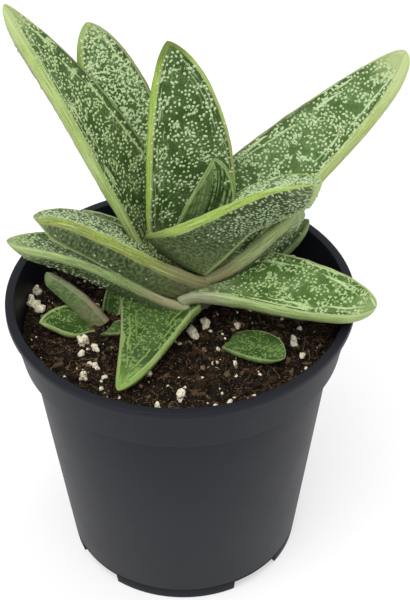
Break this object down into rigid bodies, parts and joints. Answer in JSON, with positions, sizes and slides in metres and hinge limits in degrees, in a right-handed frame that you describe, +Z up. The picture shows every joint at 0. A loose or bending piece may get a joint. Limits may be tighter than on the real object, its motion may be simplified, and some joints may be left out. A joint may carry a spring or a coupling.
{
  "type": "potted gasteria",
  "caption": "Young warty gasteria with thick pale-edged leaves in a round tapered plastic nursery pot filled with gritty soil, with small offset leaves beside it.",
  "frame": {"origin": "centre of the pot's underside, on the flat pad in its middle", "axes": "+Z up through the pot, -Y towards the front shown in the picture, +X to the right there"},
  "size_m": [0.1198, 0.105, 0.175],
  "materials": {
    "pot_plastic": "satin charcoal",
    "soil": "rough dark brown",
    "stem": "matte tan green",
    "leaf": "warty satin, dark green with cream dots",
    "young_leaf": "satin, mid green with pale dots"
  },
  "bodies": {
    "root": {"pot": "pot_plastic", "soil": "soil", "stem": "stem", "leaf_heart": "leaf", "leaf_centre": "leaf", "leaf_right_arched": "leaf", "leaf_right_tall": "leaf", "leaf_left_tall": "leaf", "leaf_back": "leaf", "leaf_right_edge": "leaf", "leaf_left_upper": "leaf", "leaf_right_back": "leaf", "leaf_left_back": "leaf", "leaf_right_low": "leaf", "leaf_left_low": "leaf", "leaf_front_low": "leaf", "offset_leaf_upper": "young_leaf", "offset_leaf_left": "young_leaf", "offset_leaf_back": "young_leaf", "offset_leaf_front": "young_leaf", "seedling_leaf": "young_leaf"}
  },
  "joints": []
}
